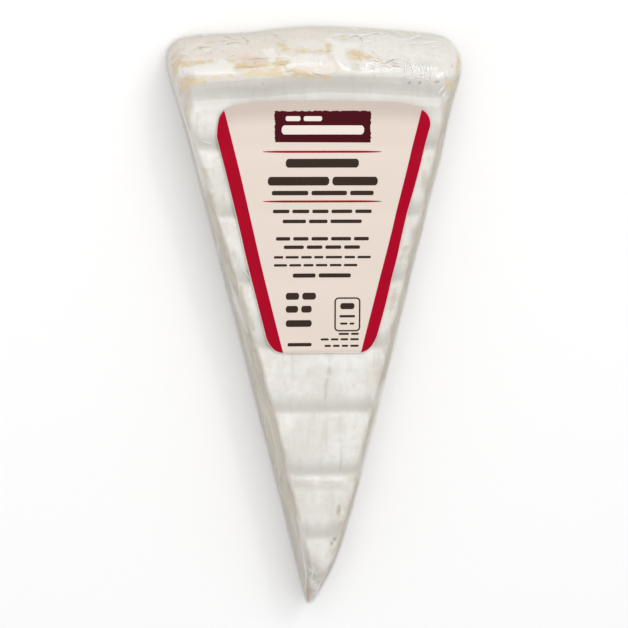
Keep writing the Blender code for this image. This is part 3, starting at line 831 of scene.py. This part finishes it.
# A flat grid between two side lines, high above the label until it is laid down
def sheetBetween(name, leftSide, rightSide, across, along, topEdge=None, hug=False):
    left, right = smoothLine(leftSide, along + 1), smoothLine(rightSide, along + 1)
    over = np.linspace(0.0, 1.0, across + 1)[:, None]
    down = np.linspace(0.0, 1.0, along + 1)[:, None, None]
    places = left[:, None] + (right - left)[:, None] * over
    if topEdge:
        top = smoothLine(topEdge, across + 1)
        places += (1.0 - down) ** 3 * (top - top[0] - (top[-1] - top[0]) * over)
    fromTop = down * label["length"]
    fromEnds = np.minimum(fromTop + label["topStandOff"], label["length"] - fromTop)
    border = np.minimum(np.minimum(over, 1.0 - over) * label["width"], fromEnds)
    dip = label["edgeHug"] * (1.0 - fadeIn(border, 0.0, label["edgeReach"]))
    thin = np.broadcast_to(1.0 - fadeIn(fromTop, *label["thinTop"]), dip.shape)
    verts = [(x * mm, y * mm, drawnAt) for x, y in places.reshape(-1, 2)]
    faces = [
        (first, first + across + 1, first + across + 2, first + 1)
        for row in range(along) for first in range(row * (across + 1), row * (across + 1) + across)
    ]
    hugs = np.ones(len(verts)) if hug else dip.ravel()
    return drawPiece(name, verts, [], faces, hug=hugs, thin=thin.ravel())


# Each point's place straight below it on a surface
def pointBelow(add, onto):
    return add("GeometryNodeRaycast", {"Target Geometry": onto, "Ray Length": 0.2}, out="Hit Position")


# Lays a flat sheet down on what is under it: close where it hugs, level where it spans a groove
def layTree(material):
    tree, add, given = newTree("layDown", ("Onto", "Level", "Lift", "Span"), ["hug"])
    onto = add("GeometryNodeObjectInfo", {"Object": given["Onto"]}, out="Geometry")
    under = add("ShaderNodeSeparateXYZ", [pointBelow(add, onto)], out="Z")
    close = add("ADD", (under, given["Lift"]))
    share = add("MAXIMUM", (given["hug"], given["Span"]))
    height = add("ShaderNodeMix", {0: share, 2: given["Level"], 3: close}, data_type="FLOAT")
    height = add("MAXIMUM", (height, close))
    axes = add("ShaderNodeSeparateXYZ", [add("GeometryNodeInputPosition")]).node.outputs
    landed = add("ShaderNodeCombineXYZ", (axes["X"], axes["Y"], height))
    moved = add("GeometryNodeSetPosition", {0: given["Geometry"], "Position": landed})
    return endTree(tree, moved, material)


# Gives a laid sheet its thickness upwards
def thicken(piece, thickness):
    wall = piece.modifiers.new("wall", "SOLIDIFY")
    wall.thickness = thickness
    wall.offset = 1.0
    freeze(piece)
    return piece


def layDown(piece, onto, material, settings, span=1.0):
    values = {"Onto": onto, "Level": label["flatHeight"], "Lift": settings["lift"], "Span": span}
    runTree(piece, layTree(material), values)
    return thicken(piece, settings["thickness"])


def widened(line):
    middle = Vector(label["middle"])
    return [Vector(point) + (Vector(point) - middle).normalized() * label["border"] for point in line]


labelPiece = sheetBetween(
    "labelSheet", widened(stripes["leftOuter"]), widened(stripes["rightOuter"]), 90, 140, label["topEdge"]
)
labelPaper = printedLabel("labelPaper", label["paper"], thinShadedHex=label["thinShadedPaper"])
layDown(labelPiece, filmPiece, labelPaper, label, label["span"])

printed = []
redInk = printedLabel("redInk", stripes["ink"], 0.12)
for side, first, second in (("Left", "leftOuter", "leftInner"), ("Right", "rightInner", "rightOuter")):
    stripe = sheetBetween("labelStripe" + side, stripes[first], stripes[second], 14, 160, hug=True)
    printed.append(layDown(stripe, labelPiece, redInk, stripes))

draw = random.Random(7)


# A straight line with a torn edge's small jogs
def raggedLine(start, end, count):
    rag = plaque["rag"]
    return [
        [first + (last - first) * step / count + draw.uniform(-rag, rag) for first, last in zip(start, end)]
        for step in range(count + 1)
    ]


leftTop, rightTop, rightFoot, leftFoot = plaque["corners"]
plaquePiece = sheetBetween(
    "labelPlaque", raggedLine(leftTop, leftFoot, 26), raggedLine(rightTop, rightFoot, 26),
    70, 40, raggedLine(leftTop, rightTop, 60), hug=True,
)
printed.append(layDown(plaquePiece, labelPiece, printedLabel("maroonInk", plaque["ink"], 0.1), plaque))
print("label made")

# The printing on it is plain bars. A row: middle height, left end, right end and height in mm, and its bars
bars = {
    "rows": [
        (54.4, -9.9, 10.5, 2.5, 1), (49.25, -14.9, 15.8, 2.5, 2), (45.8, -13.8, 14.7, 1.3, 3),
        (40.45, -13.5, 14.2, 1, 5), (37.6, -10.8, 11.4, 1, 3),
        (32.6, -12.7, 13.4, 1, 5), (30.15, -10.5, 10.9, 1, 4),
        (27.2, -13.3, 14, 0.7, 7), (24.9, -13.3, 10.2, 0.7, 6),
        (21.8, -8, 8.4, 1.2, 2), (16, -10, -1.5, 2, 2), (12.2, -10, -2.7, 2, 2),
        (7.95, -10, -2.7, 2, 1), (1.6, -9.5, -2.7, 1, 1),
        (4.3, 5, 10.7, 0.6, 2), (2.75, -0.1, 10.7, 0.6, 4), (0.8, 1, 10.7, 0.6, 4),
        (12.6, 5.4, 9.4, 1.8, 1), (9.6, 5.2, 9.6, 0.7, 1), (7.4, 5.4, 9.4, 0.6, 2),
    ],
    "paleRows": [(67.3, -9.9, 0.2, 1.4, 2), (63.9, -11.0, 11.9, 2.6, 1)],
    "rules": [(57.625, -16.3, 16.9, 0.6, 1), (43.35, -16.3, 17.0, 0.6, 1)],
    "gap": 0.9,
    "slope": -0.0316,  # the rows lie a little askew on the wedge
    "step": 0.16 * mm,
    "lift": 0.01 * mm,
    "thickness": 0.03 * mm,
    "ink": "#3A2C26",
    "paleInk": "#EFE4DC",
}


def drawBars(name, rows):
    verts, edges, girths = [], [], []
    for middle, start, end, height, count in rows:
        gap = bars["gap"] * min(1.0, height / 1.6 + 0.3)
        shares = [draw.uniform(0.7, 1.4) for _ in range(count)]
        room = (end - start) - gap * (count - 1)
        left = start
        for share in shares:
            right = left + room * share / sum(shares)
            for x in (left, right):
                verts.append((x * mm, (middle + bars["slope"] * (x - (start + end) / 2)) * mm, drawnAt))
                girths.append(height / 2 * mm)
            edges.append((len(verts) - 2, len(verts) - 1))
            left = right + gap
    return drawPiece(name, verts, edges, [], girth=girths)


# Draws each line as a flat bar with rounded or drawn-out ends, and lays it on the label
def barTree(material):
    tree, add, given, lines, onto = lineTree("barsOnLabel", ("Step", "End Run", "End Width", "Lift"))
    along = add("GeometryNodeSplineParameter", out="Length")
    whole = add("GeometryNodeSplineLength", out="Length")
    toEnd = add("MINIMUM", (along, add("SUBTRACT", (whole, along))))
    run = add("MULTIPLY", (given["girth"], given["End Run"]))
    inverse = add("SUBTRACT", (1.0, add("DIVIDE", (toEnd, run), use_clamp=True)))
    rest = add("SUBTRACT", (1.0, add("MULTIPLY", (inverse, inverse))))
    roundness = add("MAXIMUM", (add("SQRT", [rest]), given["End Width"]))
    width = add("MULTIPLY", (given["girth"], roundness))
    lines = add("GeometryNodeSetCurveNormal", [lines], mode="Z_UP")
    profile = add("GeometryNodeCurvePrimitiveLine", {"Start": (-1.0, 0.0, 0.0), "End": (1.0, 0.0, 0.0)})
    profile = add("GeometryNodeResampleCurve", {0: profile, "Count": 4})
    strips = add("GeometryNodeCurveToMesh", {"Curve": lines, "Profile Curve": profile, "Scale": width})
    lift = add("ShaderNodeCombineXYZ", {2: given["Lift"]})
    landed = add("ShaderNodeVectorMath", (pointBelow(add, onto), lift), operation="ADD")
    moved = add("GeometryNodeSetPosition", {0: strips, "Position": landed})
    return endTree(tree, moved, material)


def faceUp(mesh):
    shape = bmesh.new()
    shape.from_mesh(mesh)
    shape.normal_update()
    bmesh.ops.reverse_faces(shape, faces=[face for face in shape.faces if face.normal.z < 0])
    shape.to_mesh(mesh)
    shape.free()


def layBars(piece, onto, material, endRun=0.6, endWidth=0.4):
    values = {"Step": bars["step"], "End Run": endRun, "End Width": endWidth, "Lift": bars["lift"]}
    runTree(piece, barTree(material), {"Onto": onto, **values})
    faceUp(piece.data)
    printed.append(thicken(piece, bars["thickness"]))


darkInk = printedLabel("darkInk", bars["ink"], 0.1)
layBars(drawBars("labelBars", bars["rows"]), labelPiece, darkInk)
layBars(drawBars("plaqueBars", bars["paleRows"]), plaquePiece, printedLabel("paleInk", bars["paleInk"]))
layBars(drawBars("labelRules", bars["rules"]), labelPiece, redInk, endRun=25.0, endWidth=0.1)

# The small box in the label's corner: two of its corners, their radius, and the line's girth
box = {"low": (3.95, 5.5), "high": (10.9, 15.2), "radius": 1.0, "girth": 0.42, "turns": 6}


def drawBox(name):
    radius, verts = box["radius"], []
    left, foot = (place + radius for place in box["low"])
    right, top = (place - radius for place in box["high"])
    for corner, (middleX, middleY) in enumerate(((right, top), (left, top), (left, foot), (right, foot))):
        for turn in range(box["turns"] + 1):
            angle = (corner + turn / box["turns"]) * math.pi / 2
            x, y = middleX + radius * math.cos(angle), middleY + radius * math.sin(angle)
            verts.append((x * mm, (y + bars["slope"] * x) * mm, drawnAt))
    edges = [(place, (place + 1) % len(verts)) for place in range(len(verts))]
    return drawPiece(name, verts, edges, [], girth=[box["girth"] / 2 * mm] * len(verts))


layBars(drawBox("labelBox"), labelPiece, darkInk, endRun=0.01, endWidth=1.0)
print("printing made")

# Camera: the pack seen from above, the view turned a little to its rind and to its left
view = {
    "target": Vector((-0.288, 5.87, 14.0)) * mm,
    "back": Vector((-0.11320, 0.30703, 0.94494)),
    "right": Vector((0.99290, 0.0, 0.11895)),
    "distance": 0.9,
    "lens": 180.4,
    "sensor": 36.0,
}


def makeCamera():
    data = bpy.data.cameras.new("camera")
    data.lens = view["lens"]
    data.sensor_width = view["sensor"]
    camera = newPiece("camera", data)
    back = view["back"].normalized()
    up = back.cross(view["right"]).normalized()
    turn = Matrix((up.cross(back), up, back)).transposed().to_4x4()
    camera.matrix_world = Matrix.Translation(view["target"] + view["distance"] * back) @ turn
    bpy.context.scene.camera = camera


# Soft studio light: each lamp's place, size and power, in metres and watts
lamps = {
    "keyLight": ((0.10, 0.56, 1.00), 0.9, 6.2),
    "fillLight": ((-0.6, -0.3, 1.0), 0.8, 1.0),
    "glintLight": ((0.25, 0.75, 0.90), 0.10, 0.8),
}
studio = {"skyStrength": 0.60, "floorReach": 3.0, "floorColour": "#FCFCFC"}


def makeStudio():
    bpy.context.scene.world = bpy.data.worlds.new("studio")
    add = startNodes(bpy.context.scene.world)
    sky = add("ShaderNodeBackground", {"Color": (1.0, 1.0, 1.0, 1.0), "Strength": studio["skyStrength"]})
    add("ShaderNodeOutputWorld", {"Surface": sky})
    for name, (place, size, power) in lamps.items():
        data = bpy.data.lights.new(name, "AREA")
        data.shape, data.size, data.energy = "SQUARE", size, power
        place = Vector(place)
        turn = place.to_track_quat("Z", "Y").to_matrix().to_4x4()
        newPiece(name, data).matrix_world = Matrix.Translation(place) @ turn
    # painted board, rolled matt: an even near-white with no grain to see
    material, add, _ = newMaterial("paintedBoard")
    paint = add("ShaderNodeBsdfPrincipled", {"Base Color": studio["floorColour"], "Roughness": 0.9})
    add("ShaderNodeOutputMaterial", [paint])
    reach = studio["floorReach"]
    corners = [(-reach, -reach, 0), (reach, -reach, 0), (reach, reach, 0), (-reach, reach, 0)]
    floor = drawPiece("studioFloor", corners, [], [(0, 1, 2, 3)])
    floor.data.materials.append(material)
    bpy.context.scene.view_settings.view_transform = "Standard"


makeCamera()
makeStudio()

cheesePieces = [cheesePiece, crackPiece, filmPiece, creasePiece]
for piece in cheesePieces:
    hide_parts("wrapped_wedge")
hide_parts("front_label")
labelPieces = [labelPiece] + printed
for piece in cheesePieces + labelPieces:
    piece.data.shade_smooth()
    if piece in labelPieces:
        piece.data.set_sharp_from_angle(angle=math.radians(40))
    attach(piece, "root")
